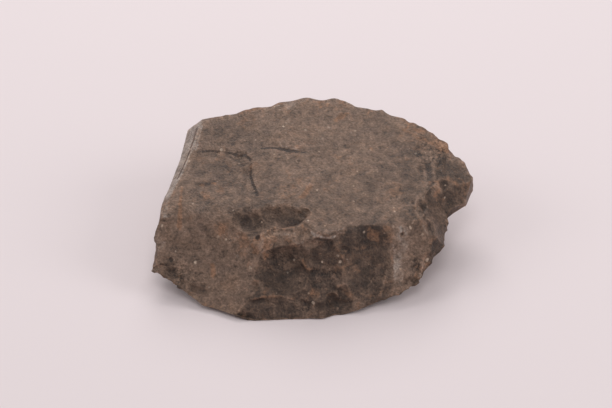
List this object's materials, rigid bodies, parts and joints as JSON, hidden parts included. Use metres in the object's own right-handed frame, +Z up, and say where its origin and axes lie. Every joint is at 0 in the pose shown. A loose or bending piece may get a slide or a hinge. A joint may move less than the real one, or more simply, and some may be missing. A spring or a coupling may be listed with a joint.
{
  "type": "obsidian rock",
  "caption": "Chunky flaked piece of weathered obsidian that lies on a flat spot: a broad top, steep front flake scars with sharp ridges, and a chipped rim.",
  "frame": {"origin": "middle of the stone's bounding box in X and Y, on the flat spot that it rests on", "axes": "+X along the stone's length, -Y to its steep flaked front, +Z up"},
  "size_m": [0.09, 0.068, 0.029],
  "materials": {
    "weathered_obsidian": "satin, weathered, with ochre soil stains and pale specks"
  },
  "bodies": {
    "root": {"obsidian_rock": "weathered_obsidian"}
  },
  "joints": []
}
